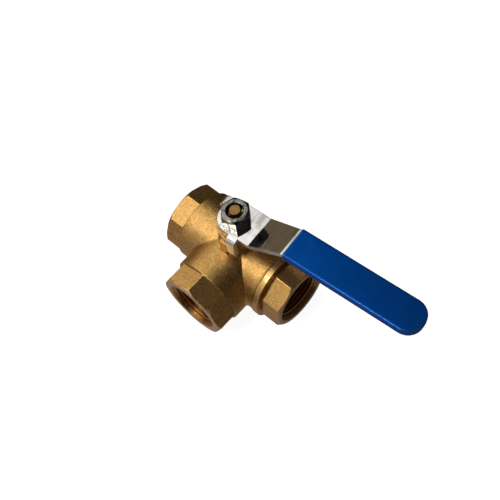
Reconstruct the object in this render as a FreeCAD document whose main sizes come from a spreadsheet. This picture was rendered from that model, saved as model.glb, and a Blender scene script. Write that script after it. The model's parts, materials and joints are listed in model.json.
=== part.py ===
import FreeCAD, Part
import os
import math
import Sketcher

# Three-way ball valve, 3/4 inch size, one parametric document, millimetres.
# Frame: +Z up along the stem, +X along the run towards the screwed-in end
# adapter, -Y towards the branch port. The origin is on the resting plane,
# straight under the stem. The port axes cross at height axis_h.

doc = FreeCAD.newDocument("three_way_valve")
sheet = doc.addObject("Spreadsheet::Sheet", "dims")
sheet.Label = "dims"

TABLE = [
    # alias, value, note
    ("axis_h", 19.6, "port axis above the resting plane"),
    ("across_flats", 35.0, "octagon across flats"),
    ("end_circle", 17.6, "radius of the turned circle on a port end face"),
    ("end_rise", 1.0, "radius gained per length along the turned port end chamfer"),
    ("run_turn", 1.2, "turn of the run octagon"),
    ("branch_turn", 2.5, "turn of the branch octagon"),
    ("adapt_across", 33.0, "adapter octagon across flats"),
    ("adapt_circle", 16.4, "radius of the turned circle on the adapter end face"),
    ("adapt_fall", 0.7, "length per radius along the adapter's turned end chamfer"),
    ("run_end", 37.4, "stem axis to run port end face"),
    ("run_flats", 27.2, "stem axis to inner end of the run port flats"),
    ("branch_end", 38.3, "stem axis to branch port end face"),
    ("branch_flats", 26.8, "stem axis to inner end of the branch port flats"),
    ("neck_rad", 19.1, "forged neck radius"),
    ("collar_rad", 19.6, "turned collar radius at the adapter side"),
    ("collar_in", 22.4, "stem axis to inner edge of the collar"),
    ("collar_out", 26.2, "stem axis to the body end face at the adapter"),
    ("collar_groove", 0.45, "depth of the line turned beside the collar"),
    ("bore_rad", 7.5, "flow bore radius"),
    ("thread_rad", 13.22, "port thread major radius, G 3/4"),
    ("mouth_rad", 14.25, "mouth chamfer radius"),
    ("mouth_depth", 1.3, "mouth chamfer depth"),
    ("run_thread", 15.7, "run port thread depth"),
    ("branch_thread", 15.2, "branch port thread depth"),
    ("cavity_rad", 13.0, "ball chamber radius"),
    ("cavity_left", 6.0, "start of the flow bores, inside the ball chamber"),
    ("seat_floor", 13.3, "stem axis to each seat floor"),
    ("seat_rad", 9.1, "seat ring outer radius, small enough for four seats round one ball"),
    ("seat_bore", 7.7, "seat ring inner radius"),
    ("seat_sphere", 12.55, "radius of the spherical seat face"),
    ("ball_rad", 12.5, "ball radius"),
    ("ball_bore", 7.0, "ball passage radius"),
    ("slot_w", 6.1, "ball slot width"),
    ("slot_floor", 8.0, "ball slot floor above the port axis"),
    ("adapt_thread_rad", 15.0, "adapter screw radius in the body"),
    ("adapt_gap", 0.04, "radial gap of the adapter screw"),
    ("gasket_in", 13.0, "inner end of the adapter gasket"),
    ("gasket_out", 14.2, "outer end of the adapter gasket"),
    ("adapt_nose_rad", 12.9, "adapter nose radius"),
    ("adapt_nose_end", 9.8, "stem axis to adapter nose end"),
    ("adapt_flats", 27.5, "stem axis to inner end of the adapter flats"),
    ("adapt_end", 38.0, "stem axis to adapter end face"),
    ("adapt_thread", 15.2, "adapter port thread depth"),
    ("adapt_turn", 17.0, "turn of the adapter octagon"),
    ("boss_rad", 9.6, "stem boss radius"),
    ("boss_top", 28.6, "stem boss top above the port axis"),
    ("boss_fillet", 1.8, "fillet round the foot of the boss"),
    ("lug_half", 2.1, "half width of the stop lug"),
    ("lug_out", 11.3, "reach of the stop lug from the stem axis"),
    ("lug_foot_out", 12.0, "reach of the lug's foot"),
    ("lug_top", 27.4, "stop lug top above the port axis"),
    ("pad_rad", 9.0, "radius of the machining pad under the belly"),
    ("stem_rad", 4.5, "stem radius"),
    ("stem_hole", 4.55, "stem hole radius"),
    ("flange_rad", 6.5, "stem flange radius"),
    ("flange_pocket", 6.85, "pocket radius for the stem flange"),
    ("tang_half", 2.95, "half thickness of the stem tang"),
    ("tang_reach", 5.6, "tang half length"),
    ("tang_low", 8.4, "tang end above the port axis"),
    ("flange_low", 12.7, "underside of the stem flange"),
    ("flange_high", 15.3, "top of the stem flange"),
    ("thrust_high", 16.3, "top of the thrust washer"),
    ("pack_low", 21.9, "floor of the packing chamber"),
    ("pack_rad", 6.9, "packing chamber radius"),
    ("pack_one", 23.0, "bottom ring seam at the bore"),
    ("pack_two", 24.3, "chevron ring seam at the bore"),
    ("pack_vee", 0.7, "height of the packing vee"),
    ("pack_high", 25.9, "top of the packing"),
    ("gland_low", 27.3, "bottom of the gland nut's screw"),
    ("gland_rad", 7.2, "gland nut screw radius"),
    ("gland_hex", 15.0, "gland nut across flats"),
    ("gland_high", 32.3, "gland nut top"),
    ("follow_rad", 6.8, "packing follower radius"),
    ("oring_sec", 0.6, "stem O-ring section radius"),
    ("oring_one", 18.0, "lower O-ring above the port axis"),
    ("oring_two", 20.2, "upper O-ring above the port axis"),
    ("oring_groove", 3.3, "O-ring groove radius"),
    ("shoulder", 33.6, "stem shoulder under the lever"),
    ("stem_shank", 3.95, "stem screw radius, M8"),
    ("stem_flats", 2.8, "half distance over the stem flats"),
    ("stem_screw_top", 40.2, "end of the stem screw"),
    ("tip_rad", 2.8, "stem tip radius"),
    ("tip_top", 43.1, "stem tip above the port axis"),
    ("nut_hole", 4.0, "nut bore radius, M8"),
    ("nut_flats", 13.0, "nut across flats, M8"),
    ("nut_high", 6.5, "nut height"),
    ("nut_turn", 10.0, "turn of the nut's hexagon"),
    ("plate_th", 2.5, "lever plate thickness"),
    ("plate_top", 36.1, "top of the lever head"),
    ("head_rad", 9.0, "lever head radius"),
    ("head_half", 8.9, "lever half width beside the head"),
    ("bend_one", 13.6, "first bend from the stem axis"),
    ("bend_two", 31.7, "second bend from the stem axis"),
    ("rise_top", 46.4, "top of the lever blade"),
    ("blade_half", 7.2, "lever blade half width"),
    ("neck_half", 7.6, "lever half width at the second bend"),
    ("blade_end", 98.0, "end of the lever blade"),
    ("tip_corner", 6.4, "corner radius of the blade end"),
    ("bend_rad", 3.0, "outer radius of the blade bends"),
    ("tab_in", 2.5, "tab side nearest the stop lug"),
    ("tab_out", 7.8, "tab far side"),
    ("tab_reach", 12.3, "tab outer face from the stem axis"),
    ("tab_bend", 3.0, "tab outer bend radius"),
    ("tab_low", 24.4, "tab end above the port axis"),
    ("sleeve_in", 33.4, "start of the grip sleeve"),
    ("sleeve_wall", 0.95, "grip sleeve wall"),
    ("sleeve_round", 0.9, "rounding along the grip sleeve"),
    ("rest_turn", 4.2, "turn of the lever at rest"),
]


class Dim:
    """A number together with the sheet expression that gives it."""

    def __init__(self, v, t):
        self.v = float(v)
        self.t = t

    @staticmethod
    def of(o):
        return o if isinstance(o, Dim) else Dim(o, repr(float(o)))

    def __add__(self, o):
        o = Dim.of(o)
        return Dim(self.v + o.v, "(%s + %s)" % (self.t, o.t))

    def __sub__(self, o):
        o = Dim.of(o)
        return Dim(self.v - o.v, "(%s - %s)" % (self.t, o.t))

    def __mul__(self, o):
        o = Dim.of(o)
        return Dim(self.v * o.v, "(%s * %s)" % (self.t, o.t))

    def __truediv__(self, o):
        o = Dim.of(o)
        return Dim(self.v / o.v, "(%s / %s)" % (self.t, o.t))

    def __radd__(self, o):
        return Dim.of(o) + self

    def __rsub__(self, o):
        return Dim.of(o) - self

    def __rmul__(self, o):
        return Dim.of(o) * self

    def __neg__(self):
        return Dim(-self.v, "(0 - %s)" % self.t)


def root(q):
    return Dim(math.sqrt(q.v), "sqrt(%s)" % q.t)


class Sizes:
    pass


D = Sizes()
for i, (alias, value, note) in enumerate(TABLE):
    row = i + 1
    sheet.set("A%d" % row, note)
    sheet.set("B%d" % row, repr(value))
    sheet.setAlias("B%d" % row, alias)
    setattr(D, alias, Dim(value, "dims." + alias))
doc.recompute()

SIZE = {
    "Part::Box": ("Length", "Width", "Height"),
    "Part::Cylinder": ("Radius", "Height"),
    "Part::Cone": ("Radius1", "Radius2", "Height"),
    "Part::Sphere": ("Radius",),
    "Part::Torus": ("Radius1", "Radius2"),
    "Part::Prism": ("Circumradius", "Height"),
}


def bind(obj, prop, q):
    obj.setExpression(prop, Dim.of(q).t)


def prim(kind, name, *sizes, at=(0, 0, 0), axis=None, angle=0.0, sides=None):
    """A Part primitive whose sizes and place are bound to the sheet."""
    o = doc.addObject(kind, name)
    if sides:
        o.Polygon = sides
    rot = FreeCAD.Rotation(FreeCAD.Vector(*axis), angle) if axis else FreeCAD.Rotation()
    o.Placement = FreeCAD.Placement(FreeCAD.Vector(*[Dim.of(a).v for a in at]), rot)
    for prop, q in zip(SIZE[kind], sizes):
        setattr(o, prop, Dim.of(q).v)
        bind(o, prop, q)
    for k, a in zip("xyz", at):
        if isinstance(a, Dim):
            bind(o, "Placement.Base." + k, a)
    return o


def fuse(name, *shapes):
    o = doc.addObject("Part::MultiFuse", name)
    o.Shapes = list(shapes)
    o.Refine = True
    return o


def cut(name, base, tool):
    o = doc.addObject("Part::Cut", name)
    o.Base = base
    o.Tool = tool
    o.Refine = True
    return o


def common(name, *shapes):
    o = doc.addObject("Part::MultiCommon", name)
    o.Shapes = list(shapes)
    o.Refine = True
    return o


def new_body(name):
    b = doc.addObject("PartDesign::Body", name)
    b.Label = name
    return b


def plane(body, role):
    for f in body.Origin.OriginFeatures:
        if f.Role == role:
            return f
    raise RuntimeError("no plane " + role)


def sketch(body, name, role, rings, offset=None):
    """A closed-profile sketch. rings is a list of closed rings of vertices
    (x, y) or (x, y, radius): a radius makes the edge that leaves the vertex
    an arc, positive when it bulges to the right of the way it runs. Every
    vertex is held by two distances from the origin, bound to the sheet."""
    sk = body.newObject("Sketcher::SketchObject", name)
    sk.AttachmentSupport = [(plane(body, role), "")]
    sk.MapMode = "FlatFace"
    if offset is not None:
        sk.AttachmentOffset = FreeCAD.Placement(
            FreeCAD.Vector(0, 0, Dim.of(offset).v), FreeCAD.Rotation())
        bind(sk, "AttachmentOffset.Base.z", offset)
    for ring in rings:
        ring = [tuple(Dim.of(c) for c in v) for v in ring]
        n = len(ring)
        first = sk.GeometryCount
        ends = []
        for i, v in enumerate(ring):
            w = ring[(i + 1) % n]
            p = FreeCAD.Vector(v[0].v, v[1].v, 0)
            q = FreeCAD.Vector(w[0].v, w[1].v, 0)
            if len(v) == 3:
                rad = v[2].v
                side = 1.0 if rad > 0 else -1.0
                rad = abs(rad)
                mid = (p + q) * 0.5
                d = q - p
                half = d.Length / 2.0
                d.normalize()
                right = FreeCAD.Vector(d.y, -d.x, 0) * side
                dist = math.sqrt(max(rad * rad - half * half, 0.0))
                centre = mid - right * dist
                a0 = math.atan2(p.y - centre.y, p.x - centre.x)
                a1 = math.atan2(q.y - centre.y, q.x - centre.x)
                circ = Part.Circle(centre, FreeCAD.Vector(0, 0, 1), rad)
                if side > 0:
                    # bulging right of the way means anticlockwise
                    g = sk.addGeometry(Part.ArcOfCircle(circ, a0, a1 if a1 > a0 else a1 + 2 * math.pi), False)
                    ends.append((g, 1, 2))
                else:
                    g = sk.addGeometry(Part.ArcOfCircle(circ, a1, a0 if a0 > a1 else a0 + 2 * math.pi), False)
                    ends.append((g, 2, 1))
            else:
                g = sk.addGeometry(Part.LineSegment(p, q), False)
                ends.append((g, 1, 2))
        for i, v in enumerate(ring):
            g, s, e = ends[i]
            h, hs, he = ends[(i + 1) % n]
            sk.addConstraint(Sketcher.Constraint("Coincident", g, e, h, hs))
        for i, v in enumerate(ring):
            g, s, e = ends[i]
            for k, kind in ((0, "DistanceX"), (1, "DistanceY")):
                c = sk.addConstraint(Sketcher.Constraint(kind, -1, 1, g, s, v[k].v))
                if "dims." in v[k].t:
                    sk.setExpression("Constraints[%d]" % c, v[k].t)
            if len(v) == 3:
                r = v[2] if v[2].v > 0 else -v[2]
                c = sk.addConstraint(Sketcher.Constraint("Radius", g, r.v))
                if "dims." in r.t:
                    sk.setExpression("Constraints[%d]" % c, r.t)
    return sk


def feature(body, kind, name, sk, **props):
    f = body.newObject(kind, name)
    f.Profile = sk
    for k, v in props.items():
        if isinstance(v, Dim):
            setattr(f, k, v.v)
            bind(f, k, v)
        else:
            setattr(f, k, v)
    sk.Visibility = False
    return f


def revolve(body, name, ring, axis="V_Axis", kind="PartDesign::Revolution", role="XZ_Plane", offset=None):
    sk = sketch(body, name + "_profile", role, [ring], offset)
    return feature(body, kind, name, sk, ReferenceAxis=(sk, [axis]), Angle=360.0)


def pad(body, name, sk, length, kind="PartDesign::Pad", **props):
    return feature(body, kind, name, sk, Length=length, **props)


def checked_cut(body, what):
    """A pocket or groove must have removed something."""
    doc.recompute()
    tip = body.Tip
    base = tip.BaseFeature
    if base is not None and tip.Shape.Volume > base.Shape.Volume - 1e-3:
        raise RuntimeError("%s removed nothing" % what)


A = D.axis_h
corner = D.across_flats / (2.0 * math.cos(math.pi / 8))
adapt_corner = D.adapt_across / (2.0 * math.cos(math.pi / 8))


def up(q):
    """A height given above the port axis, as a height above the resting plane."""
    return A + q


X_AXIS = ((0, 1, 0), 90)     # turns a primitive's +Z to +X
Y_BACK = ((1, 0, 0), 90)     # turns a primitive's +Z to -Y

# ------------------------------------------------------------------ body
# Forged tee: two round necks, an octagonal end with a turned chamfer on the run and on
# the branch, a turned collar where the adapter screws in, a stem boss with its stop lug,
# and a small round machining pad under the belly.


def along_x(kind, name, x0, x1, *radii, **kw):
    return prim(kind, name, *radii, x1 - x0, at=(x0, 0, A), axis=(0, 1, 0), angle=90, **kw)


def along_y(kind, name, y0, y1, *radii, **kw):
    """From y = -y0 to y = -y1."""
    return prim(kind, name, *radii, y1 - y0, at=(0, -y0, A), axis=(1, 0, 0), angle=90, **kw)


def octagon_x(name, x0, x1, turn):
    """Octagonal bar along +X, its corner at the top when turn is 0."""
    o = prim("Part::Prism", name, corner, x1 - x0, at=(x0, 0, A), sides=8)
    r = FreeCAD.Rotation(FreeCAD.Vector(0, 1, 0), 90)
    r = FreeCAD.Rotation(FreeCAD.Vector(1, 0, 0), turn) * r
    o.Placement = FreeCAD.Placement(o.Placement.Base, r)
    return o


Z = Dim(0.0, "0.0")
run_neck = along_x("Part::Cylinder", "run_neck", -D.run_flats, D.collar_in, D.neck_rad)
collar_line = along_x("Part::Cylinder", "collar_line", D.collar_in, D.collar_in + 0.5, D.collar_rad - D.collar_groove)
collar = along_x("Part::Cylinder", "collar", D.collar_in + 0.5, D.collar_out, D.collar_rad)
branch_neck = along_y("Part::Cylinder", "branch_neck", Z, D.branch_flats, D.neck_rad)

run_oct_bar = octagon_x("run_oct_bar", -D.run_end, -D.run_flats, -D.run_turn.v)
run_turned = along_x("Part::Cone", "run_turned", -D.run_end, -D.run_end + 12.0,
                     D.end_circle, D.end_circle + D.end_rise * 12.0)
run_oct = common("run_oct", run_oct_bar, run_turned)

branch_oct_bar = prim("Part::Prism", "branch_oct_bar", corner, D.branch_end - D.branch_flats,
                      at=(0, -D.branch_flats, A), axis=(1, 0, 0), angle=90, sides=8)
branch_oct_bar.Placement = FreeCAD.Placement(
    branch_oct_bar.Placement.Base,
    FreeCAD.Rotation(FreeCAD.Vector(0, 1, 0), D.branch_turn.v) * FreeCAD.Rotation(FreeCAD.Vector(1, 0, 0), 90))
branch_turned = prim("Part::Cone", "branch_turned", D.end_circle + D.end_rise * 12.0, D.end_circle, Dim(12.0, "12.0"),
                     at=(0, -D.branch_end + 12.0, A), axis=(1, 0, 0), angle=90)
branch_oct = common("branch_oct", branch_oct_bar, branch_turned)

boss = prim("Part::Cylinder", "boss", D.boss_rad, D.boss_top, at=(0, 0, A))
pad_post = prim("Part::Cylinder", "pad_post", D.pad_rad, D.axis_h / 2.0, at=(0, 0, 0))
tee = fuse("tee", run_neck, branch_neck, boss)

# Stop lug: a forged block on the branch side of the boss, leaning back a little.
lug_body = doc.addObject("Part::Wedge", "stop_lug")
for prop, q in (("Xmin", -D.lug_half - 0.25), ("Xmax", D.lug_half + 0.25), ("X2min", -D.lug_half), ("X2max", D.lug_half),
                ("Ymin", Z), ("Ymax", D.lug_top - 12.0),
                ("Zmin", -D.lug_foot_out), ("Zmax", Dim(-7.0, "(0 - 7.0)")), ("Z2min", -D.lug_out), ("Z2max", Dim(-7.0, "(0 - 7.0)"))):
    setattr(lug_body, prop, q.v)
    bind(lug_body, prop, q)
# the wedge rises along its own +Y: turn +Y to +Z, and its Z to the part's Y
lug_body.Placement = FreeCAD.Placement(
    FreeCAD.Vector(0, 0, A.v + 12.0),
    FreeCAD.Rotation(FreeCAD.Matrix(-1, 0, 0, 0, 0, 0, 1, 0, 0, 1, 0, 0, 0, 0, 0, 1)))
bind(lug_body, "Placement.Base.z", A + 12.0)

doc.recompute()

# Fillets where boss and necks meet, taken on the plain tee.
def edges_where(shape, test):
    out = []
    for i, e in enumerate(shape.Edges):
        if test(e):
            out.append(i + 1)
    return out


def is_boss_foot(e):
    c = e.BoundBox
    if c.ZMin < A.v + 10 or c.ZMax > A.v + D.neck_rad.v + 0.5:
        return False
    pts = [e.valueAt(e.FirstParameter + (e.LastParameter - e.FirstParameter) * k / 4.0) for k in range(5)]
    return all(abs(math.hypot(p.x, p.y) - D.boss_rad.v) < 0.05 for p in pts)


def is_crotch(e):
    pts = [e.valueAt(e.FirstParameter + (e.LastParameter - e.FirstParameter) * k / 4.0) for k in range(5)]
    ok = all(abs(math.hypot(p.y, p.z - A.v) - D.neck_rad.v) < 0.05 and abs(math.hypot(p.x, p.z - A.v) - D.neck_rad.v) < 0.05
             for p in pts)
    return ok


foot = edges_where(tee.Shape, is_boss_foot)
crotch = edges_where(tee.Shape, is_crotch)
print("boss foot edges", foot, "crotch edges", crotch)
tee_round = doc.addObject("Part::Fillet", "tee_round")
tee_round.Base = tee
tee_round.Edges = [(i, D.boss_fillet.v, D.boss_fillet.v) for i in foot] + [(i, 1.2, 1.2) for i in crotch]
doc.recompute()
if tee_round.Shape.isNull() or not tee_round.Shape.isValid():
    raise RuntimeError("tee fillet failed")

body_outer = fuse("body_outer", tee_round, collar_line, collar, run_oct, branch_oct, lug_body, pad_post)

hollow = [
    along_x("Part::Cylinder", "run_thread_bore", -D.run_end - 1.0, -D.run_end + D.run_thread, D.thread_rad),
    along_x("Part::Cone", "run_mouth", -D.run_end, -D.run_end + D.mouth_depth, D.mouth_rad, D.thread_rad),
    along_x("Part::Cylinder", "run_flow_bore", -D.run_end, -D.cavity_left, D.bore_rad),
    along_x("Part::Cylinder", "run_seat_pocket", -D.seat_floor, -D.cavity_left + 1.0, D.seat_rad),
    prim("Part::Sphere", "ball_chamber_end", D.cavity_rad, at=(0, 0, A)),
    along_x("Part::Cylinder", "ball_chamber", Z, D.gasket_in + 0.5, D.cavity_rad),
    along_x("Part::Cylinder", "adapter_screw_bore", D.gasket_in, D.collar_out + 1.0, D.adapt_thread_rad),
    along_y("Part::Cylinder", "branch_thread_bore", D.branch_end - D.branch_thread, D.branch_end + 1.0, D.thread_rad),
    along_y("Part::Cone", "branch_mouth", D.branch_end - D.mouth_depth, D.branch_end, D.thread_rad, D.mouth_rad),
    along_y("Part::Cylinder", "branch_flow_bore", D.cavity_left, D.branch_end, D.bore_rad),
    along_y("Part::Cylinder", "branch_seat_pocket", Z, D.seat_floor, D.seat_rad),
    prim("Part::Cylinder", "back_seat_pocket", D.seat_rad, D.seat_floor, at=(0, 0, A), axis=(1, 0, 0), angle=-90),
    prim("Part::Cylinder", "flange_bore", D.flange_pocket, D.thrust_high, at=(0, 0, A)),
    prim("Part::Cylinder", "stem_bore", D.stem_hole, D.boss_top + 1.0, at=(0, 0, A)),
    prim("Part::Cylinder", "packing_bore", D.pack_rad, D.boss_top - D.pack_low + 1.0, at=(0, 0, up(D.pack_low))),
    prim("Part::Cylinder", "gland_bore", D.gland_rad, D.boss_top - D.pack_high + 1.0, at=(0, 0, up(D.pack_high))),
]
body_hollow = fuse("body_hollow", *hollow)
valve_body = cut("valve_body", body_outer, body_hollow)
valve_body.Label = "valve_body"
doc.recompute()

# --------------------------------------------------------------- adapter
# Screwed-in end: turned piece with an octagonal head.
end_adapter_b = new_body("end_adapter")
ring = [
    (D.bore_rad, D.seat_floor), (D.seat_rad, D.seat_floor), (D.seat_rad, D.adapt_nose_end),
    (D.adapt_nose_rad, D.adapt_nose_end), (D.adapt_nose_rad, D.gasket_out),
    (D.adapt_thread_rad - D.adapt_gap, D.gasket_out), (D.adapt_thread_rad - D.adapt_gap, D.adapt_flats),
    (adapt_corner + 0.2, D.adapt_flats),
    (adapt_corner + 0.2, D.adapt_end - D.adapt_fall * (adapt_corner + 0.2 - D.adapt_circle)),
    (D.adapt_circle, D.adapt_end), (D.mouth_rad, D.adapt_end), (D.thread_rad, D.adapt_end - D.mouth_depth),
    (D.thread_rad, D.adapt_end - D.adapt_thread), (D.bore_rad, D.adapt_end - D.adapt_thread),
]
revolve(end_adapter_b, "adapter_turned", ring, axis="V_Axis", role="XZ_Plane")
doc.recompute()
# octagon flats: a pocket that removes all outside the octagon
flat_pts = []
for k in range(8):
    a = math.radians(45.0 * k)
    flat_pts.append((adapt_corner * math.cos(a), adapt_corner * math.sin(a)))
big = 24.0
sk = sketch(end_adapter_b, "flats_profile", "XY_Plane",
            [flat_pts, [(-big, -big), (big, -big), (big, big), (-big, big)]], offset=D.adapt_flats)
pad(end_adapter_b, "flats", sk, D.adapt_end - D.adapt_flats + 1.0, kind="PartDesign::Pocket", Reversed=True)
checked_cut(end_adapter_b, "adapter flats")


def place_turned(o, turn):
    """A turned piece's own +Z goes to the part's +X at port height."""
    r = FreeCAD.Rotation(FreeCAD.Vector(1, 0, 0), turn) * FreeCAD.Rotation(FreeCAD.Vector(0, 1, 0), 90)
    o.Placement = FreeCAD.Placement(FreeCAD.Vector(0, 0, A.v), r)
    bind(o, "Placement.Base.z", A)


place_turned(end_adapter_b, D.adapt_turn.v)

gasket = new_body("adapter_gasket")
revolve(gasket, "gasket_ring", [
    (D.cavity_rad, D.gasket_in), (D.adapt_thread_rad - 0.02, D.gasket_in),
    (D.adapt_thread_rad - 0.02, D.gasket_out), (D.cavity_rad, D.gasket_out)])
place_turned(gasket, 0.0)

# ----------------------------------------------------------------- seats


def seat(name, outer, floor, rot):
    """A ring with a spherical face that bears on the ball."""
    b = new_body(name)
    R = D.seat_sphere
    lip = outer - 0.6
    y_in = root(R * R - D.seat_bore * D.seat_bore)
    y_lip = root(R * R - lip * lip)
    revolve(b, name + "_ring", [
        (D.seat_bore, floor), (D.seat_bore, y_in, -R), (lip, y_lip), (outer - 0.02, y_lip), (outer - 0.02, floor)])
    b.Placement = FreeCAD.Placement(FreeCAD.Vector(0, 0, A.v), rot)
    bind(b, "Placement.Base.z", A)
    return b


def R3(x, y, z, a):
    return FreeCAD.Rotation(FreeCAD.Vector(x, y, z), a)


seat_run = seat("seat_run", D.seat_rad, D.seat_floor, R3(0, 1, 0, -90))
seat_adapter = seat("seat_adapter", D.seat_rad, D.seat_floor, R3(0, 1, 0, 90))
seat_branch = seat("seat_branch", D.seat_rad, D.seat_floor, R3(1, 0, 0, 90))
seat_back = seat("seat_back", D.seat_rad, D.seat_floor, R3(1, 0, 0, -90))

# ------------------------------------------------------------------ ball
# L passage: one mouth to the run port, one to the branch when the lever lies
# along +X. Slot across the top, open both ways along the lever.
ball_sphere = prim("Part::Sphere", "ball_sphere", D.ball_rad)
ball_leg_x = prim("Part::Cylinder", "ball_leg_x", D.ball_bore, D.ball_rad + 1.0, axis=(0, 1, 0), angle=-90)
ball_leg_y = prim("Part::Cylinder", "ball_leg_y", D.ball_bore, D.ball_rad + 1.0, axis=(1, 0, 0), angle=90)
ball_heart = prim("Part::Sphere", "ball_heart", D.ball_bore)
slot = prim("Part::Box", "ball_slot", 2.0 * D.ball_rad + 2.0, D.slot_w, D.ball_rad,
            at=(-D.ball_rad - 1.0, -D.slot_w / 2.0, D.slot_floor))
ball_tools = fuse("ball_tools", ball_leg_x, ball_leg_y, ball_heart, slot)
ball = cut("ball", ball_sphere, ball_tools)
ball.Label = "ball"


def turn_with_lever(o, z=None):
    o.Placement = FreeCAD.Placement(FreeCAD.Vector(0, 0, 0 if z is None else z.v),
                                    FreeCAD.Rotation(FreeCAD.Vector(0, 0, 1), D.rest_turn.v))
    if z is not None:
        bind(o, "Placement.Base.z", z)
    bind(o, "Placement.Rotation.Angle", D.rest_turn)


turn_with_lever(ball, A)

# ------------------------------------------------------------------ stem
stem = new_body("stem")
g = D.oring_sec
ring = [
    (Z, D.flange_low), (D.flange_rad, D.flange_low), (D.flange_rad, D.flange_high),
    (D.stem_rad, D.flange_high),
    (D.stem_rad, D.oring_one - g - 0.1), (D.oring_groove, D.oring_one - g - 0.1),
    (D.oring_groove, D.oring_one + g + 0.1), (D.stem_rad, D.oring_one + g + 0.1),
    (D.stem_rad, D.oring_two - g - 0.1), (D.oring_groove, D.oring_two - g - 0.1),
    (D.oring_groove, D.oring_two + g + 0.1), (D.stem_rad, D.oring_two + g + 0.1),
    (D.stem_rad, D.shoulder), (D.stem_shank, D.shoulder),
    (D.stem_shank, D.stem_screw_top - 0.7), (D.stem_shank - 0.7, D.stem_screw_top),
    (D.tip_rad, D.stem_screw_top), (D.tip_rad, D.tip_top - 0.3), (D.tip_rad - 0.3, D.tip_top), (Z, D.tip_top),
]
revolve(stem, "stem_turned", ring)
doc.recompute()
tang = sketch(stem, "tang_profile", "XY_Plane", [[
    (-D.tang_reach, -D.tang_half), (D.tang_reach, -D.tang_half), (D.tang_reach, D.tang_half), (-D.tang_reach, D.tang_half)]],
    offset=D.tang_low)
pad(stem, "tang", tang, D.flange_low - D.tang_low + 0.5)
doc.recompute()
for nm, s in (("flat_left", 1.0), ("flat_right", -1.0)):
    lo = D.stem_flats * s
    hi = 6.0 * s
    pts = [(-6.0, lo), (6.0, lo), (6.0, Dim.of(hi)), (-6.0, Dim.of(hi))]
    if s < 0:
        pts = [pts[0], pts[3], pts[2], pts[1]]
    sk = sketch(stem, nm + "_profile", "XY_Plane", [pts], offset=D.shoulder)
    pad(stem, nm, sk, D.stem_screw_top - D.shoulder, kind="PartDesign::Pocket", Reversed=True)
    checked_cut(stem, nm)
turn_with_lever(stem, A)


def ring_body(name, pts, turned=False):
    b = new_body(name)
    revolve(b, name + "_section", pts)
    b.Placement = FreeCAD.Placement(FreeCAD.Vector(0, 0, A.v), FreeCAD.Rotation())
    bind(b, "Placement.Base.z", A)
    if turned:
        turn_with_lever(b, A)
    return b


thrust_washer = ring_body("thrust_washer", [
    (D.stem_rad + 0.05, D.flange_high), (D.flange_pocket - 0.05, D.flange_high),
    (D.flange_pocket - 0.05, D.thrust_high), (D.stem_rad + 0.05, D.thrust_high)], turned=True)

for nm, h in (("stem_o_ring_lower", D.oring_one), ("stem_o_ring_upper", D.oring_two)):
    o = prim("Part::Torus", nm, (D.oring_groove + D.stem_hole) / 2.0, D.oring_sec, at=(0, 0, A + h))
    o.Label = nm
stem_o_ring_lower = doc.getObject("stem_o_ring_lower")
stem_o_ring_upper = doc.getObject("stem_o_ring_upper")

# Packing set: bottom ring, chevron ring and top ring, nested vee on vee.
pi = D.stem_rad + 0.05
po = D.pack_rad - 0.02
pm = (D.stem_rad + D.pack_rad) / 2.0
v = D.pack_vee
packing_bottom_ring = ring_body("packing_bottom_ring", [
    (pi, D.pack_low), (po, D.pack_low), (po, D.pack_one), (pm, D.pack_one + v), (pi, D.pack_one)])
packing_chevron_ring = ring_body("packing_chevron_ring", [
    (pi, D.pack_one), (pm, D.pack_one + v), (po, D.pack_one), (po, D.pack_two), (pm, D.pack_two + v), (pi, D.pack_two)])
packing_top_ring = ring_body("packing_top_ring", [
    (pi, D.pack_two), (pm, D.pack_two + v), (po, D.pack_two), (po, D.pack_high), (pi, D.pack_high)])
packing_follower = ring_body("packing_follower", [
    (pi, D.pack_high), (D.follow_rad, D.pack_high), (D.follow_rad, D.gland_low), (pi, D.gland_low)])

gland_nut = new_body("gland_nut")
revolve(gland_nut, "gland_turned", [
    (pi, D.gland_low), (D.gland_rad - 0.03, D.gland_low), (D.gland_rad - 0.03, D.boss_top),
    (D.gland_hex * 0.60, D.boss_top), (D.gland_hex * 0.60, D.gland_high - 0.6),
    (D.gland_hex / 2.0, D.gland_high), (pi, D.gland_high)])
doc.recompute()
hexa = []
gc = D.gland_hex / (2.0 * math.cos(math.pi / 6))
for k in range(6):
    a = math.radians(60.0 * k + 30.0)
    hexa.append((gc * math.cos(a), gc * math.sin(a)))
sk = sketch(gland_nut, "gland_hex_profile", "XY_Plane",
            [hexa, [(-14.0, -14.0), (14.0, -14.0), (14.0, 14.0), (-14.0, 14.0)]], offset=D.boss_top)
pad(gland_nut, "gland_flats", sk, D.gland_high - D.boss_top + 1.0, kind="PartDesign::Pocket", Reversed=True)
checked_cut(gland_nut, "gland flats")
gland_nut.Placement = FreeCAD.Placement(FreeCAD.Vector(0, 0, A.v), FreeCAD.Rotation())
bind(gland_nut, "Placement.Base.z", A)

# ----------------------------------------------------------------- lever
# One pressed strip: flat head on the stem, ramp, straight blade. The side
# profile is padded across, and a plan outline trims it.
lever_plate = new_body("lever_plate")
T = D.plate_th
top1 = D.plate_top
top2 = D.rise_top
run_len = D.bend_two - D.bend_one
rise = top2 - top1
slope = root(run_len * run_len + rise * rise)
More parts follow.
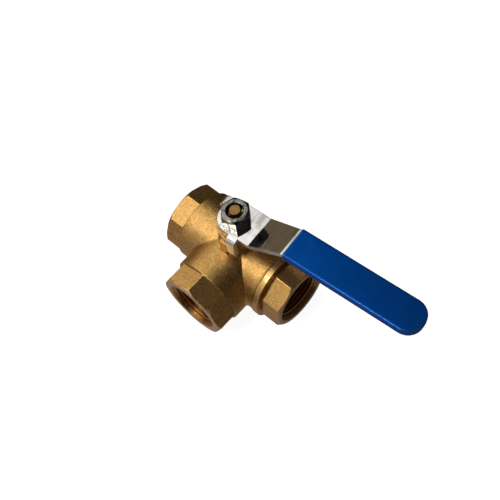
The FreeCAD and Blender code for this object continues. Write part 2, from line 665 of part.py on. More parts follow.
# offsets of the underside's corners along the strip
k1 = T * (slope - run_len) / rise
side = [
    (-D.head_rad - 6.0, top1 - T), (D.bend_one + k1, top1 - T), (D.bend_two + k1, top2 - T),
    (D.blade_end, top2 - T), (D.blade_end, top2), (D.bend_two, top2), (D.bend_one, top1), (-D.head_rad - 6.0, top1),
]
sk = sketch(lever_plate, "side_profile", "XZ_Plane", [side])
pad(lever_plate, "strip", sk, Dim(60.0, "60.0"), Midplane=True)
doc.recompute()
h1 = D.head_half
h2 = D.neck_half
h3 = D.blade_half
rt = D.tip_corner
hx = -root(D.head_rad * D.head_rad - h1 * h1)
plan = [
    (hx, h1, D.head_rad), (hx, -h1), (D.bend_one, -h1), (D.bend_two, -h2), (D.bend_two + 6.0, -h3),
    (D.blade_end - rt, -h3, rt), (D.blade_end, -h3 + rt), (D.blade_end, h3 - rt, rt), (D.blade_end - rt, h3),
    (D.bend_two + 6.0, h3), (D.bend_two, h2), (D.bend_one, h1),
]
out = [(-40.0, -40.0), (140.0, -40.0), (140.0, 40.0), (-40.0, 40.0)]
sk = sketch(lever_plate, "plan_outline", "XY_Plane", [plan, out])
pad(lever_plate, "trim", sk, Dim(60.0, "60.0"), kind="PartDesign::Pocket", Midplane=False, Reversed=True)
checked_cut(lever_plate, "lever trim")


# stop tabs, each a short leg bent down from the head
def tab_points(s):
    b = D.tab_bend
    y = D.tab_reach
    return [
        (y * 0.62 * s, top1), ((y - b) * s, top1, b * (-s)), (y * s, top1 - b), (y * s, D.tab_low),
        ((y - T) * s, D.tab_low), ((y - T) * s, top1 - b, (b - T) * s), ((y - b) * s, top1 - T), (y * 0.62 * s, top1 - T),
    ]


sk = sketch(lever_plate, "tab_one_profile", "YZ_Plane", [tab_points(-1.0)], offset=D.tab_in)
pad(lever_plate, "tab_one", sk, D.tab_out - D.tab_in)
doc.recompute()
# the XZ plane looks along -Y: an offset is towards -Y there
sk = sketch(lever_plate, "tab_two_profile", "XZ_Plane", [tab_points(-1.0)], offset=-D.tab_in)
pad(lever_plate, "tab_two", sk, D.tab_out - D.tab_in, Reversed=True)
doc.recompute()
# stem hole with two flats
sf = D.stem_flats + 0.03
sr = D.stem_shank + 0.05
sx = root(sr * sr - sf * sf)
sk = sketch(lever_plate, "stem_hole_profile", "XY_Plane",
            [[(-sx, -sf), (sx, -sf, sr), (sx, sf), (-sx, sf, sr)]], offset=top1 - T - 1.0)
pad(lever_plate, "stem_hole", sk, T + 2.0, kind="PartDesign::Pocket", Reversed=True)
checked_cut(lever_plate, "lever stem hole")
turn_with_lever(lever_plate, A)

# ---------------------------------------------------------------- sleeve
# Dipped vinyl grip: a closed-ended sleeve round the blade, with soft edges.
w = D.sleeve_wall
grip_sleeve = new_body("grip_sleeve")
rs = rt + w
so = h3 + w
plan_out = [
    (D.sleeve_in, -so), (D.blade_end + w - rs, -so, rs), (D.blade_end + w, -so + rs), (D.blade_end + w, so - rs, rs),
    (D.blade_end + w - rs, so), (D.sleeve_in, so)]
sk = sketch(grip_sleeve, "sleeve_outline", "XY_Plane", [plan_out], offset=top2 - T - w)
sleeve_block = pad(grip_sleeve, "sleeve_block", sk, T + 2.0 * w)
doc.recompute()
round_edges = []
zt = top2.v + w.v
zb = top2.v - T.v - w.v
for i, e in enumerate(sleeve_block.Shape.Edges):
    bb = e.BoundBox
    flat_top = abs(bb.ZMin - zt) < 1e-4 and abs(bb.ZMax - zt) < 1e-4
    flat_bot = abs(bb.ZMin - zb) < 1e-4 and abs(bb.ZMax - zb) < 1e-4
    at_mouth = abs(bb.XMax - D.sleeve_in.v) < 1e-3
    if (flat_top or flat_bot) and not at_mouth:
        round_edges.append("Edge%d" % (i + 1))
fil = grip_sleeve.newObject("PartDesign::Fillet", "sleeve_soft")
fil.Base = (sleeve_block, round_edges)
fil.Radius = D.sleeve_round.v
bind(fil, "Radius", D.sleeve_round)
doc.recompute()
# the blade is a little wider just behind the second bend, so the sleeve opens with it
xm = D.bend_two + 6.0
kk = (h2 - h3) / 6.0
wm = h3 + kk * (xm - D.sleeve_in + 1.0)
plan_in = [
    (D.sleeve_in - 1.0, -wm), (xm, -h3), (D.blade_end - rt, -h3, rt), (D.blade_end, -h3 + rt),
    (D.blade_end, h3 - rt, rt), (D.blade_end - rt, h3), (xm, h3), (D.sleeve_in - 1.0, wm)]
sk = sketch(grip_sleeve, "sleeve_inside", "XY_Plane", [plan_in], offset=top2 - T)
pad(grip_sleeve, "sleeve_hollow", sk, T, kind="PartDesign::Pocket", Reversed=True)
checked_cut(grip_sleeve, "sleeve hollow")
turn_with_lever(grip_sleeve, A)

# ------------------------------------------------------------------- nut
handle_nut = new_body("handle_nut")
n0 = D.plate_top
n1 = D.plate_top + D.nut_high
nc = D.nut_flats / (2.0 * math.cos(math.pi / 6))
cham = nc - D.nut_flats * 0.47
revolve(handle_nut, "nut_turned", [
    (D.nut_hole, n0), (nc - 0.4, n0), (nc + 0.1, n0 + 0.3), (nc + 0.1, n1 - 0.58 * cham), (D.nut_flats * 0.47, n1),
    (D.nut_hole + 0.35, n1), (D.nut_hole, n1 - 0.35)])
doc.recompute()
hexa = []
for k in range(6):
    a = math.radians(60.0 * k + D.nut_turn.v)
    hexa.append((nc * math.cos(a), nc * math.sin(a)))
sk = sketch(handle_nut, "nut_hex_profile", "XY_Plane",
            [hexa, [(-14.0, -14.0), (14.0, -14.0), (14.0, 14.0), (-14.0, 14.0)]], offset=n0 - 0.5)
pad(handle_nut, "nut_flats", sk, D.nut_high + 1.0, kind="PartDesign::Pocket", Reversed=True)
checked_cut(handle_nut, "nut flats")
turn_with_lever(handle_nut, A)

doc.recompute()

NODES = [valve_body, end_adapter_b, gasket, ball, seat_run, seat_adapter, seat_branch, seat_back, stem, thrust_washer,
         stem_o_ring_lower, stem_o_ring_upper, packing_bottom_ring, packing_chevron_ring, packing_top_ring,
         packing_follower, gland_nut, lever_plate, grip_sleeve, handle_nut]

for o in doc.Objects:
    bad = [s for s in o.State if s in ("Invalid", "Error")]
    if bad:
        raise RuntimeError("%s is %s" % (o.Name, bad))
for o in NODES:
    s = o.Shape
    if s.isNull() or not s.isValid() or not s.Solids:
        raise RuntimeError("%s has no valid solid" % o.Label)

os.makedirs("parts", exist_ok=True)
for o in NODES:
    o.Shape.exportStep("parts/%s.step" % o.Label)
    b = o.Shape.BoundBox
    print("%-22s solids %d vol %9.1f  x %7.2f %7.2f  y %7.2f %7.2f  z %7.2f %7.2f" % (
        o.Label, len(o.Shape.Solids), o.Shape.Volume, b.XMin, b.XMax, b.YMin, b.YMax, b.ZMin, b.ZMax))
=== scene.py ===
import bpy, bmesh, json, math
import numpy as np
from mathutils import Vector, Matrix, noise


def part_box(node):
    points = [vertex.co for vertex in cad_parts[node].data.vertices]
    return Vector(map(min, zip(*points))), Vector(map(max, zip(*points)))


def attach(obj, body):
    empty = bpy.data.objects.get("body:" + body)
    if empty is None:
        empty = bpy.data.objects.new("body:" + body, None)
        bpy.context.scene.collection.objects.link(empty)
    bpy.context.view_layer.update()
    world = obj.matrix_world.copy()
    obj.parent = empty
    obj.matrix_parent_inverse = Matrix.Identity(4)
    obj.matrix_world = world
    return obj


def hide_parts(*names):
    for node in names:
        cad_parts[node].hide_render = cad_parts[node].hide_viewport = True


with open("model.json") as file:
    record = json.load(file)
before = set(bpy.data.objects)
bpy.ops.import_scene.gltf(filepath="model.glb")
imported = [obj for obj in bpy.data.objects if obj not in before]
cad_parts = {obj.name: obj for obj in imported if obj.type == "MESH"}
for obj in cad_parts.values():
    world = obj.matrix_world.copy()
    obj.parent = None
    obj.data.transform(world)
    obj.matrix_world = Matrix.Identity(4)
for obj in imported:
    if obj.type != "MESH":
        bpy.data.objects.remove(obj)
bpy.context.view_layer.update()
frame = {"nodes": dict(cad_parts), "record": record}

scene = bpy.context.scene
MM = 0.001
nodes = frame["nodes"]
mounts = {m["name"]: m for m in frame["record"]["mounts"]}
AXIS = mounts["port_run"]["pos_m"][2]                     # height of the port axes
R_MAJOR = mounts["port_run"]["dims"]["r_mm"] * MM          # thread major radius
YAW = -math.radians(frame["record"]["behaviour"]["joints"][0]["range_deg"][0])

# ---------------------------------------------------------------- materials


class Mat:
    """A small helper to write node trees."""

    def __init__(self, name):
        self.m = bpy.data.materials.new(name)
        self.m.use_nodes = True
        self.t = self.m.node_tree
        self.t.nodes.clear()
        self.out = self.n("ShaderNodeOutputMaterial")
        self.p = self.n("ShaderNodeBsdfPrincipled")
        self.t.links.new(self.p.outputs[0], self.out.inputs["Surface"])
        self.co = self.n("ShaderNodeTexCoord").outputs["Object"]

    def n(self, kind, **props):
        x = self.t.nodes.new(kind)
        for k, v in props.items():
            setattr(x, k, v)
        return x

    def link(self, a, b):
        self.t.links.new(a, b)

    def put(self, sock, v):
        if isinstance(v, bpy.types.NodeSocket):
            self.link(v, sock)
        else:
            sock.default_value = v

    def math(self, op, a, b=0.0, c=None, clamp=False):
        x = self.n("ShaderNodeMath", operation=op, use_clamp=clamp)
        self.put(x.inputs[0], a)
        self.put(x.inputs[1], b)
        if c is not None:
            self.put(x.inputs[2], c)
        return x.outputs[0]

    def noise(self, scale, detail=3.0, rough=0.55, co=None, dist=0.0):
        x = self.n("ShaderNodeTexNoise")
        x.inputs["Scale"].default_value = scale
        x.inputs["Detail"].default_value = detail
        x.inputs["Roughness"].default_value = rough
        x.inputs["Distortion"].default_value = dist
        self.link(co or self.co, x.inputs["Vector"])
        return x.outputs["Fac"]

    def voronoi(self, scale, co=None, feature="F1"):
        x = self.n("ShaderNodeTexVoronoi", feature=feature)
        x.inputs["Scale"].default_value = scale
        self.link(co or self.co, x.inputs["Vector"])
        return x.outputs["Distance"]

    def stretch(self, sx, sy, sz, co=None):
        x = self.n("ShaderNodeMapping")
        x.inputs["Scale"].default_value = (sx, sy, sz)
        self.link(co or self.co, x.inputs["Vector"])
        return x.outputs[0]

    def range(self, v, a, b, c, d, smooth=False):
        x = self.n("ShaderNodeMapRange")
        if smooth:
            x.interpolation_type = "SMOOTHSTEP"
        self.put(x.inputs[0], v)
        for i, q in enumerate((a, b, c, d)):
            x.inputs[i + 1].default_value = q
        return x.outputs[0]

    def mix(self, f, a, b):
        x = self.n("ShaderNodeMix", data_type="RGBA")
        self.put(x.inputs["Factor"], f)
        for s, v in ((x.inputs[6], a), (x.inputs[7], b)):
            if isinstance(v, tuple) and len(v) == 3:
                v = (*v, 1.0)
            self.put(s, v)
        return x.outputs[2]

    def xyz(self):
        x = self.n("ShaderNodeSeparateXYZ")
        self.link(self.co, x.inputs[0])
        return x.outputs

    def point(self):
        return self.n("ShaderNodeNewGeometry").outputs["Pointiness"]

    def bump(self, *layers):
        """layers of (height socket, distance in metres, strength)."""
        prev = None
        for h, dist, strength in layers:
            b = self.n("ShaderNodeBump")
            b.inputs["Distance"].default_value = dist
            b.inputs["Strength"].default_value = strength
            self.link(h, b.inputs["Height"])
            if prev is not None:
                self.link(prev, b.inputs["Normal"])
            prev = b.outputs[0]
        self.link(prev, self.p.inputs["Normal"])

    def color(self, v):
        if isinstance(v, tuple) and len(v) == 3:
            v = (*v, 1.0)
        self.put(self.p.inputs["Base Color"], v)

    def rough(self, v):
        self.put(self.p.inputs["Roughness"], v)

    def fixed(self, **kv):
        names = {"metal": "Metallic", "coat": "Coat Weight", "coat_rough": "Coat Roughness", "ior": "IOR",
                 "spec": "Specular IOR Level", "aniso": "Anisotropic"}
        for k, v in kv.items():
            self.p.inputs[names[k]].default_value = v


def brass(name, dark, mid, light, rough=0.40, grain=1.0, lathe=None, edge=True):
    """Cast or turned brass. Slow colour drift, darker in the hollows, brighter edges that are part rubbed wear and part
    painted highlight, fine blasted grain.
    lathe: None, or 'x' for turning lines round the X axis at port height."""
    m = Mat(name)
    slow = m.noise(95, 4, 0.6)
    slow2 = m.noise(330, 3, 0.6)
    blend = tuple((a + 2.0 * b) / 3.0 for a, b in zip(dark, mid))
    c = m.mix(m.range(slow, 0.32, 0.68, 0, 1, True), blend, mid)
    c = m.mix(m.range(slow2, 0.42, 0.72, 0, 0.30, True), c, light)
    speck = m.noise(1050, 3, 0.65)
    c = m.mix(m.range(speck, 0.48, 0.64, 0, 0.75, True), c, light)
    if edge:
        # edges (high pointiness) are mixed towards the light brass: partly rubbed wear, partly a painted highlight;
        # hollows (low pointiness) are mixed darker
        pt = m.point()
        c = m.mix(m.range(pt, 0.505, 0.56, 0.0, 0.75, True), c, light)
        c = m.mix(m.range(pt, 0.497, 0.452, 0.0, 0.85, True), c, tuple(q * 0.42 for q in dark))
    # small freckles of darker oxide
    spots = m.noise(900, 3, 0.6)
    c = m.mix(m.range(spots, 0.53, 0.68, 0.0, 0.55, True), c, tuple(q * 0.62 for q in dark))
    m.color(c)
    m.rough(m.range(m.noise(700, 3, 0.6), 0.3, 0.7, rough - 0.06, rough + 0.08))
    fine = m.noise(3600, 2, 0.6)
    pits = m.voronoi(2300)
    dimples = m.noise(1250, 2, 0.5)
    layers = [(slow2, 0.00008, 0.15 * grain), (dimples, 0.00022, 0.50 * grain), (pits, 0.00007, 0.30 * grain), (fine, 0.00006, 0.50 * grain)]
    if lathe:
        o = m.xyz()
        rad = m.math("SQRT", m.math("ADD", m.math("POWER", o[1], 2.0), m.math("POWER", m.math("SUBTRACT", o[2], AXIS), 2.0)))
        u = m.math("ADD", rad, o[0])
        wave = m.math("SINE", m.math("MULTIPLY", u, 9000.0))
        layers.append((wave, 0.000012, 0.35))
    m.bump(*layers)
    m.fixed(metal=1.0)
    return m.m


FORGED = brass("brass_forged_blasted", (0.52, 0.275, 0.080), (0.73, 0.415, 0.125), (0.94, 0.600, 0.210), rough=0.37, grain=1.25)
TURNED = brass("brass_turned_blasted", (0.55, 0.290, 0.085), (0.76, 0.435, 0.135), (0.95, 0.610, 0.225), rough=0.35, grain=1.1)
COLLAR = brass("brass_turned_collar", (0.66, 0.390, 0.130), (0.84, 0.540, 0.200), (0.98, 0.700, 0.310), rough=0.32, grain=0.7)
FACE = brass("brass_machined_face", (0.74, 0.500, 0.260), (0.90, 0.640, 0.350), (1.00, 0.780, 0.470), rough=0.48, grain=0.6, lathe="x")
# darker brass for the threads and inner mouth chamfers: painted shade of the bore
SCREW_SHADED = brass("brass_cut_thread_painted_shade", (0.40, 0.175, 0.046), (0.58, 0.280, 0.084), (0.84, 0.460, 0.155), rough=0.30, grain=0.3)
STEM = brass("brass_stem_bar", (0.24, 0.120, 0.036), (0.34, 0.180, 0.055), (0.50, 0.290, 0.100), rough=0.36, grain=0.8)


def plated(name, base, rough, wave=0.25, scratch=0.3, stain=None, streak=150, low=0.50, high=0.68, amount=0.80):
    """Bright plated steel: slight press waviness, hairline scratches, faint milky patches."""
    m = Mat(name)
    film = m.noise(210, 4, 0.6)
    c = m.mix(m.range(film, 0.45, 0.75, 0.0, 0.5, True), base, tuple(q * 0.86 for q in base))
    if stain:
        c = m.mix(m.range(m.noise(streak, 3, 0.6, co=m.stretch(1.7, 0.55, 1.0)), low, high, 0.0, amount, True), c, stain)
    m.color(c)
    hair = m.noise(900, 2, 0.5, co=m.stretch(0.12, 3.2, 1.0))
    hair2 = m.noise(1200, 2, 0.5, co=m.stretch(2.6, 0.10, 1.0))
    m.rough(m.range(m.noise(420, 3, 0.6), 0.3, 0.7, rough * 0.75, rough * 1.5))
    m.bump((m.noise(60, 2, 0.5), 0.0010, wave), (hair, 0.000010, scratch), (hair2, 0.000008, scratch * 0.7))
    m.fixed(metal=1.0)
    return m.m


CHROME = plated("lever_bright_plating", (0.86, 0.85, 0.83), 0.060, wave=0.28, scratch=0.25, stain=(0.46, 0.45, 0.42))
NUTM = plated("nut_bright_plating", (0.32, 0.322, 0.285), 0.16, wave=0.40, scratch=0.5, stain=(0.060, 0.062, 0.052),
              streak=290, low=0.50, high=0.60, amount=0.90)
EDGE = plated("lever_sheared_edge", (0.90, 0.89, 0.87), 0.42, wave=0.10, scratch=0.9)
BALLM = plated("ball_hard_chrome", (0.80, 0.80, 0.82), 0.06, wave=0.005, scratch=0.1)


def vinyl():
    m = Mat("grip_dipped_vinyl")
    slow = m.noise(60, 3, 0.5)
    c = m.mix(m.range(slow, 0.35, 0.7, 0, 1, True), (0.0010, 0.080, 0.400), (0.0020, 0.096, 0.470))
    # paler blue over the edges of the strip: a painted highlight line along the edges
    pt = m.point()
    c = m.mix(m.range(pt, 0.505, 0.57, 0.0, 0.85, True), c, (0.330, 0.570, 0.980))
    m.color(c)
    m.rough(m.range(m.noise(500, 3, 0.6), 0.3, 0.7, 0.13, 0.20))
    m.bump((m.noise(150, 2, 0.5), 0.00030, 0.15), (m.noise(1500, 2, 0.5), 0.00003, 0.14))
    m.fixed(metal=0.42, coat=0.0, ior=1.50, spec=0.12)
    m.p.inputs["Specular Tint"].default_value = (0.12, 0.42, 1.0, 1.0)
    return m.m


VINYL = vinyl()


def plastic(name, a, b, rough, metal=0.0):
    m = Mat(name)
    m.color(m.mix(m.range(m.noise(400, 4, 0.6), 0.35, 0.7, 0, 1, True), a, b))
    m.rough(m.range(m.noise(900, 3, 0.6), 0.3, 0.7, rough - 0.06, rough + 0.06))
    m.bump((m.noise(2500, 2, 0.5), 0.00003, 0.3))
    m.fixed(metal=metal)
    return m.m


PTFE = plastic("ptfe_white", (0.80, 0.80, 0.77), (0.88, 0.88, 0.86), 0.50)
RUBBER = plastic("seal_black_rubber", (0.012, 0.012, 0.012), (0.03, 0.03, 0.03), 0.55)

CAD_LOOK = {
    "adapter_gasket": PTFE, "ball": BALLM, "seat_run": PTFE, "seat_adapter": PTFE, "seat_branch": PTFE, "seat_back": PTFE,
    "stem": STEM, "thrust_washer": PTFE, "stem_o_ring_lower": RUBBER, "stem_o_ring_upper": RUBBER,
    "packing_bottom_ring": PTFE, "packing_chevron_ring": PTFE, "packing_top_ring": PTFE, "packing_follower": TURNED,
    "gland_nut": TURNED, "valve_body": FORGED, "end_adapter": TURNED, "lever_plate": CHROME, "grip_sleeve": VINYL,
    "handle_nut": NUTM,
}
for n, m in CAD_LOOK.items():
    me = nodes[n].data
    me.materials.clear()
    me.materials.append(m)

# ---------------------------------------------------------------- geometry


def make(name, verts, faces, mat, smooth=True):
    me = bpy.data.meshes.new(name)
    me.from_pydata([tuple(v) for v in verts], [], [tuple(f) for f in faces])
    me.validate()
    me.materials.append(mat)
    if smooth:
        me.polygons.foreach_set("use_smooth", [True] * len(me.polygons))
    o = bpy.data.objects.new(name, me)
    scene.collection.objects.link(o)
    return o


def helix_thread(major, minor, pitch, x_in, x_out, mouth, mouth_deep, run_out, sides=132):
    """A right-hand internal thread along +X as one closed band: a wall inside the metal and a helical crest in the bore.
    The mouth cone cuts the first turns, and the crest fades over run_out at the inner end. Vertices are (x, y, z) about the axis."""
    per = 12
    nx = int((x_out - x_in) / (pitch / per)) + 1
    verts, faces = [], []
    xs = np.linspace(x_in, x_out, nx)
    slope = (mouth - major) / mouth_deep

    def cone(x):
        return mouth - (x_out - x) * slope

    for x in xs:
        fade = max(0.0, min(1.0, (x - x_in) / run_out))
        for k in range(sides):
            a = 2 * math.pi * k / sides
            ph = ((x / pitch) - a / (2 * math.pi)) % 1.0
            tri = 1.0 - abs(2.0 * ph - 1.0)           # 0 at the root, 1 at the crest
            tri = min(max((tri - 0.12) / 0.76, 0.0), 1.0)
            r = max(major - (major - minor) * tri * fade, cone(x)) + 0.00004
            verts.append((x, r * math.cos(a), r * math.sin(a)))
    inner = len(verts)
    for x in xs:
        rb = max(major, cone(x)) + 0.0004
        for k in range(sides):
            a = 2 * math.pi * k / sides
            verts.append((x, rb * math.cos(a), rb * math.sin(a)))
    for j in range(nx - 1):
        for k in range(sides):
            a, b = j * sides + k, j * sides + (k + 1) % sides
            faces.append((a, b, b + sides, a + sides))
            faces.append((inner + b, inner + a, inner + a + sides, inner + b + sides))
    last = (nx - 1) * sides
    for k in range(sides):
        k2 = (k + 1) % sides
        faces.append((k2, k, inner + k, inner + k2))
        faces.append((last + k, last + k2, inner + last + k2, inner + last + k))
    return np.array(verts), faces


PITCH = 1.814 * MM
MINOR = R_MAJOR - 1.162 * MM
MOUTH = R_MAJOR + 1.03 * MM
MOUTH_DEEP = 1.3 * MM


def thread_at(name, port, depth):
    """Thread band for one port, set along its mount's axis."""
    mt = mounts[port]
    ax = Vector(mt["axis"])
    half = mt["dims"]["length_mm"] * MM
    # how far out the port face stands along its axis
    owner = {"port_run": "valve_body", "port_branch": "valve_body", "port_adapter": "end_adapter"}[port]
    lo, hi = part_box(owner)
    end = max(ax.dot(lo), ax.dot(hi))
    x1 = end - 0.02 * MM
    x0 = x1 - half - 0.3 * MM
    v, f = helix_thread(R_MAJOR, MINOR, PITCH, x0, x1, MOUTH, MOUTH_DEEP, 2.2 * MM)
    zax = Vector((0, 0, 1))
    side = zax.cross(ax)
    out = [ax * p[0] + side * p[1] + zax * p[2] + Vector((0, 0, AXIS)) for p in v]
    return out, f


def fused(name, cad, extras, voxel, smooth_iter, smooth_fac=0.5, turn=0.0):
    """The CAD solid and its threads as one closed skin with softened edges. turn lays a piece's long edges along the grid."""
    src = nodes[cad].data
    verts = [Matrix.Rotation(-turn, 3, "Z") @ v.co for v in src.vertices]
    faces = [tuple(p.vertices) for p in src.polygons]
    for ev, ef in extras:
        k = len(verts)
        verts += list(ev)
        faces += [tuple(i + k for i in f) for f in ef]
    me = bpy.data.meshes.new(name)
    me.from_pydata([tuple(v) for v in verts], [], faces)
    o = bpy.data.objects.new(name, me)
    scene.collection.objects.link(o)
    bm = bmesh.new()
    bm.from_mesh(me)
    bmesh.ops.remove_doubles(bm, verts=bm.verts, dist=1e-7)
    bmesh.ops.recalc_face_normals(bm, faces=bm.faces)
    bm.to_mesh(me)
    bm.free()
    md = o.modifiers.new("skin", "REMESH")
    md.mode = "VOXEL"
    md.voxel_size = voxel
    md.use_smooth_shade = True
    if smooth_iter:
        sm = o.modifiers.new("soften", "SMOOTH")
        sm.factor = smooth_fac
        sm.iterations = smooth_iter
    bpy.context.view_layer.update()
    dg = bpy.context.evaluated_depsgraph_get()
    baked = bpy.data.meshes.new_from_object(o.evaluated_get(dg))
    o.modifiers.clear()
    o.data = baked
    if turn:
        baked.transform(Matrix.Rotation(turn, 4, "Z"))
        baked.update()
    return o


VOX = 0.24 * MM
lo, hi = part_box("valve_body")
body = fused("body_forging", "valve_body", [thread_at("run", "port_run", 0), thread_at("branch", "port_branch", 0)], VOX, 3)
alo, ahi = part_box("end_adapter")
adapter = fused("adapter_turning", "end_adapter", [thread_at("adapter", "port_adapter", 0)], VOX, 3)


def paint(o, rules, default):
    """Material by face: rules are (material, test(centre, normal))."""
    me = o.data
    me.materials.clear()
    me.materials.append(default)
    n = len(me.polygons)
    c = np.zeros(n * 3)
    nn = np.zeros(n * 3)
    me.polygons.foreach_get("center", c)
    me.polygons.foreach_get("normal", nn)
    c = c.reshape(-1, 3)
    nn = nn.reshape(-1, 3)
    idx = np.zeros(n, dtype=np.int32)
    for i, (mat, test) in enumerate(rules):
        me.materials.append(mat)
        idx[test(c, nn)] = i + 1
    me.polygons.foreach_set("material_index", idx)
    me.polygons.foreach_set("use_smooth", np.ones(n, dtype=bool))
    me.update()


run_out = -lo.x
branch_out = -lo.y
adapt_out = ahi.x


def rad_x(c):
    return np.hypot(c[:, 1], c[:, 2] - AXIS)


def rad_y(c):
    return np.hypot(c[:, 0], c[:, 2] - AXIS)


LIP = R_MAJOR + 0.95 * MM
paint(body, [
    # threads and inner mouth chamfers get the darker thread brass: painted shade inside the bore
    (SCREW_SHADED, lambda c, n: ((rad_x(c) < R_MAJOR + 0.25 * MM) & (c[:, 0] < -20 * MM)) | ((rad_y(c) < R_MAJOR + 0.25 * MM) & (c[:, 1] < -20 * MM))),
    (SCREW_SHADED, lambda c, n: ((rad_x(c) < LIP) & (c[:, 0] < -run_out + 1.7 * MM)) | ((rad_y(c) < LIP) & (c[:, 1] < -branch_out + 1.7 * MM))),
    (FACE, lambda c, n: ((c[:, 0] < -run_out + 1.7 * MM) & (rad_x(c) > LIP) & (n[:, 0] < -0.35)) | ((c[:, 1] < -branch_out + 1.7 * MM) & (rad_y(c) > LIP) & (n[:, 1] < -0.35))),
    (COLLAR, lambda c, n: (c[:, 0] > 22.7 * MM) & (rad_x(c) > 17 * MM)),
], FORGED)
paint(adapter, [
    # thread and inner mouth chamfer get the darker thread brass: painted shade inside the bore
    (SCREW_SHADED, lambda c, n: (rad_x(c) < R_MAJOR + 0.2 * MM) & (c[:, 0] > 20 * MM)),
    (SCREW_SHADED, lambda c, n: (rad_x(c) < LIP) & (c[:, 0] > adapt_out - 1.7 * MM)),
    (FACE, lambda c, n: (c[:, 0] > adapt_out - 1.3 * MM) & (rad_x(c) > LIP) & (n[:, 0] > 0.35)),
], TURNED)
for o, n, s in ((body, "valve_body", "brass_forged"), (adapter, "end_adapter", "brass_turned")):
    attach(o, "valve")
    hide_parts(n)



def softened(name, cad, width, mat, angle=28.0, segments=3):
    """A copy of a flat-sided CAD solid with its sharp edges broken."""
    me = nodes[cad].data.copy()
    me.name = name
    o = bpy.data.objects.new(name, me)
    scene.collection.objects.link(o)
    bm = bmesh.new()
    bm.from_mesh(me)
    bmesh.ops.remove_doubles(bm, verts=bm.verts, dist=2e-6)
    bmesh.ops.dissolve_limit(bm, angle_limit=math.radians(0.6), verts=bm.verts, edges=bm.edges)
    bm.to_mesh(me)
    bm.free()
    me.materials.clear()
    me.materials.append(mat)
    bv = o.modifiers.new("edge_break", "BEVEL")
    bv.width = width
    bv.segments = segments
    bv.limit_method = "ANGLE"
    bv.angle_limit = math.radians(angle)
    bv.use_clamp_overlap = True
    bv.harden_normals = False
    bpy.context.view_layer.update()
    dg = bpy.context.evaluated_depsgraph_get()
    baked = bpy.data.meshes.new_from_object(o.evaluated_get(dg))
    o.modifiers.clear()
    o.data = baked
    n = len(baked.polygons)
    baked.polygons.foreach_set("use_smooth", np.ones(n, dtype=bool))
    wn_ = o.modifiers.new("flat_faces", "WEIGHTED_NORMAL")
    wn_.keep_sharp = False
    wn_.weight = 100
    bpy.context.view_layer.update()
    dg = bpy.context.evaluated_depsgraph_get()
    baked = bpy.data.meshes.new_from_object(o.evaluated_get(dg))
    o.modifiers.clear()
    o.data = baked
    return o


lever = softened("lever_pressing", "lever_plate", 0.32 * MM, CHROME)
paint(lever, [(EDGE, lambda c, n: (np.abs(n[:, 2]) < 0.30))], CHROME)
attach(lever, "lever_train")
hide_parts("lever_plate")

nut = fused("handle_nut_finished", "handle_nut", [], (0.12) * MM, 3)
paint(nut, [], NUTM)
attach(nut, "lever_train")
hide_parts("handle_nut")

grip = fused("grip_dipped", "grip_sleeve", [], (0.26) * MM, 4, turn=YAW)
paint(grip, [], VINYL)
# the dip line at the mouth wanders a little, and the coat is slightly uneven
glo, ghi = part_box("grip_sleeve")
cy, sy = math.cos(YAW), math.sin(YAW)
co = np.zeros(len(grip.data.vertices) * 3)
grip.data.vertices.foreach_get("co", co)
co = co.reshape(-1, 3)
along = co[:, 0] * cy + co[:, 1] * sy
across = -co[:, 0] * sy + co[:, 1] * cy
start = along.min()
near = np.clip(1.0 - (along - start) / (1.4 * MM), 0.0, 1.0)
wander = np.array([noise.noise(Vector((a * 420.0, c * 420.0, 3.1))) for a, c in zip(np.round(across, 5), np.round(co[:, 2], 5))])
push = -near * (0.78 - 0.22 * np.abs(wander)) * MM
co[:, 0] += push * cy
co[:, 1] += push * sy
grip.data.vertices.foreach_set("co", co.ravel())
grip.data.update()
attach(grip, "lever_train")
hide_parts("grip_sleeve")

# ---------------------------------------------------------------- staging


def stage_floor():
    bpy.ops.mesh.primitive_grid_add(x_subdivisions=8, y_subdivisions=8, size=3.0)
    f = bpy.context.object
    f.name = "studio_floor"
    f.location = (0, 0, 0)
    m = Mat("floor_pale_paper")
    m.color(m.mix(m.noise(6, 3, 0.5), (0.60, 0.60, 0.60), (0.64, 0.64, 0.64)))
    m.rough(0.9)
    em = m.p.inputs
    em["Emission Color"].default_value = (1.0, 1.0, 1.0, 1.0)
    em["Emission Strength"].default_value = FLOOR_GLOW
    em["Specular IOR Level"].default_value = 0.0
    f.data.materials.append(m.m)
    f.visible_glossy = False
    f.visible_diffuse = False
    return f


FLOOR_GLOW = 0.92
stage_floor()

# Soft studio surroundings: a broad soft light high on the -X, -Y side, a weaker low fill, a pale floor tone below, dark elsewhere.
w = bpy.data.worlds.new("studio")
scene.world = w
w.use_nodes = True
t = w.node_tree
t.nodes.clear()


def wn(kind, **kw):
    x = t.nodes.new(kind)
    for k, v in kw.items():
        setattr(x, k, v)
    return x


wo = wn("ShaderNodeOutputWorld")
bg = wn("ShaderNodeBackground")
t.links.new(bg.outputs[0], wo.inputs[0])
gen = wn("ShaderNodeTexCoord").outputs["Generated"]


def lobe(direction, inner, outer, power):
    """A soft round light: full inside the inner angle, gone outside the outer one (degrees)."""
    d = Vector(direction).normalized()
    dot = wn("ShaderNodeVectorMath", operation="DOT_PRODUCT")
    t.links.new(gen, dot.inputs[0])
    dot.inputs[1].default_value = d
    mr = wn("ShaderNodeMapRange")
    mr.interpolation_type = "SMOOTHSTEP"
    t.links.new(dot.outputs["Value"], mr.inputs[0])
    mr.inputs[1].default_value = math.cos(math.radians(outer))
    mr.inputs[2].default_value = math.cos(math.radians(inner))
    mr.inputs[3].default_value = 0.0
    mr.inputs[4].default_value = power
    return mr.outputs[0]


def total(*parts):
    acc = parts[0]
    for p in parts[1:]:
        x = wn("ShaderNodeMath", operation="ADD")
        for s, v in ((x.inputs[0], acc), (x.inputs[1], p)):
            if isinstance(v, (int, float)):
                s.default_value = v
            else:
                t.links.new(v, s)
        acc = x.outputs[0]
    return acc


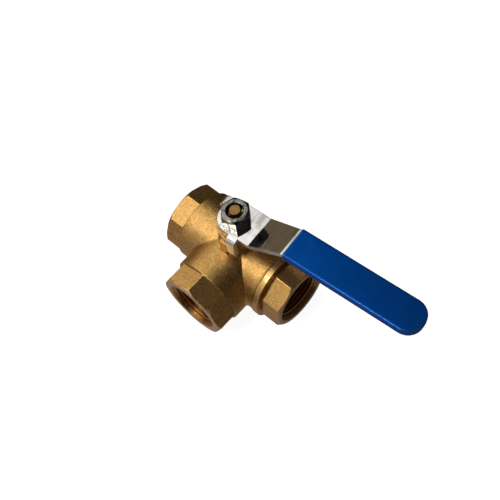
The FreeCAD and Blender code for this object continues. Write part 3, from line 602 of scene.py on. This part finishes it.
upper = total(
    lobe((-0.46, -0.12, 0.88), 22, 34, 1.12),      # key softbox
    lobe((-0.14, -0.58, 0.80), 3, 9, 12.0),        # a small hard lamp over the -Y side
    lobe((-0.36, -0.72, 0.60), 8, 28, 0.30),       # soft light on the -Y side
    lobe((-0.87, 0.10, 0.49), 9, 20, 0.90),        # fill on the -X side
    lobe((-0.30, -0.92, 0.28), 5, 30, 0.34))       # low fill on the -Y side
lower = total(lobe((-0.25, -0.50, -0.83), 25, 75, 0.25), lobe((0.80, 0.20, -0.55), 20, 60, 0.06), 0.032)   # paper below, and the dim room
brown = lobe((-0.97, 0.24, -0.02), 12, 34, 0.085)  # dark warm surroundings low on the -X side


def glow(strength, color):
    b = wn("ShaderNodeBackground")
    b.inputs["Color"].default_value = (*color, 1.0)
    t.links.new(strength, b.inputs["Strength"])
    return b.outputs[0]


t.links.new(upper, bg.inputs["Strength"])
bg.inputs["Color"].default_value = (1.0, 0.985, 0.955, 1.0)
acc = bg.outputs[0]
for sh in (glow(lower, (1.0, 0.90, 0.92)), glow(brown, (1.0, 0.68, 0.30))):
    both = wn("ShaderNodeAddShader")
    t.links.new(acc, both.inputs[0])
    t.links.new(sh, both.inputs[1])
    acc = both.outputs[0]
t.links.new(acc, wo.inputs[0])

# ---------------------------------------------------------------- camera
cam_data = bpy.data.cameras.new("camera")
cam_data.sensor_width = 36.0
cam_data.lens = 740.19 / 500.0 * 36.0
cam_data.clip_start = 0.01
cam_data.clip_end = 10.0
cam = bpy.data.objects.new("camera", cam_data)
scene.collection.objects.link(cam)
right = Vector((0.74186562, 0.66496408, -0.0863607))
up = -Vector((0.55916738, -0.68456887, -0.46765083))
back = -Vector((-0.37009086, 0.29864398, -0.87968433))
pos = Vector((140.268, -108.644, 330.572 + AXIS / MM)) * MM
M = Matrix((
    (right.x, up.x, back.x, pos.x),
    (right.y, up.y, back.y, pos.y),
    (right.z, up.z, back.z, pos.z),
    (0, 0, 0, 1)))
cam.matrix_world = M
scene.camera = cam
scene.view_settings.view_transform = "Standard"
